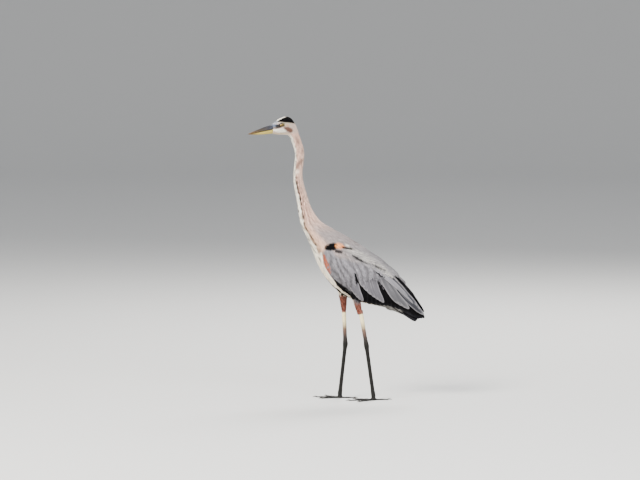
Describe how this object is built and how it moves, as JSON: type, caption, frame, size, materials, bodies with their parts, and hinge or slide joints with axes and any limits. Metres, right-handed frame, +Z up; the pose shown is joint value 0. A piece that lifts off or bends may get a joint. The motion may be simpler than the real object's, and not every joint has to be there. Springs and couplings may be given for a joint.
{
  "type": "great blue heron model",
  "caption": "Life-size still model of a great blue heron standing alert, neck raised, head turned slightly to its left, wings folded.",
  "frame": {"origin": "on the floor, in the bird's mid-plane and under the middle of its length from bill tip to wing tips", "axes": "+Z up; -Y the way the body faces; +X the bird's left side, to which the head is turned"},
  "size_m": [0.2383, 0.7051, 1.1358],
  "materials": {
    "grey_plumage": "soft overlapping feathers, blue-grey, matt",
    "lilac_plumage": "short soft feathers, pinkish grey, streaked in front",
    "pale_plumage": "very short feathers, white face and black crown stripe",
    "dark_plumage": "stiff flight feathers, slate to black, slight sheen",
    "rufous_plumage": "short rusty-brown feathers",
    "upper_bill": "horn, dark brown, satin",
    "lower_bill": "horn, yellow, satin",
    "eye": "yellow iris and black pupil, wet gloss",
    "pale_leg": "scaly skin, cream turning to grey-brown",
    "dark_leg": "scaly skin, blackish",
    "claw": "horn, black"
  },
  "bodies": {
    "root": {"claw_left_hind": "claw", "claw_left_inner": "claw", "claw_left_middle": "claw", "claw_left_outer": "claw", "claw_right_hind": "claw", "claw_right_inner": "claw", "claw_right_middle": "claw", "claw_right_outer": "claw", "eye_left": "eye", "eye_right": "eye", "flight_feathers_left": "dark_plumage", "flight_feathers_right": "dark_plumage", "foot_left": "dark_leg", "foot_right": "dark_leg", "head": "pale_plumage", "lower_bill": "lower_bill", "neck_lower": "lilac_plumage", "neck_middle": "lilac_plumage", "neck_upper": "lilac_plumage", "shank_left": "pale_leg", "shank_right": "pale_leg", "tail": "grey_plumage", "tarsus_left": "dark_leg", "tarsus_right": "dark_leg", "thigh_left": "rufous_plumage", "thigh_right": "rufous_plumage", "toe_left_hind": "dark_leg", "toe_left_inner": "dark_leg", "toe_left_middle": "dark_leg", "toe_left_outer": "dark_leg", "toe_right_hind": "dark_leg", "toe_right_inner": "dark_leg", "toe_right_middle": "dark_leg", "toe_right_outer": "dark_leg", "trunk": "grey_plumage", "upper_bill": "upper_bill", "wing_left": "grey_plumage", "wing_right": "grey_plumage"}
  },
  "joints": []
}
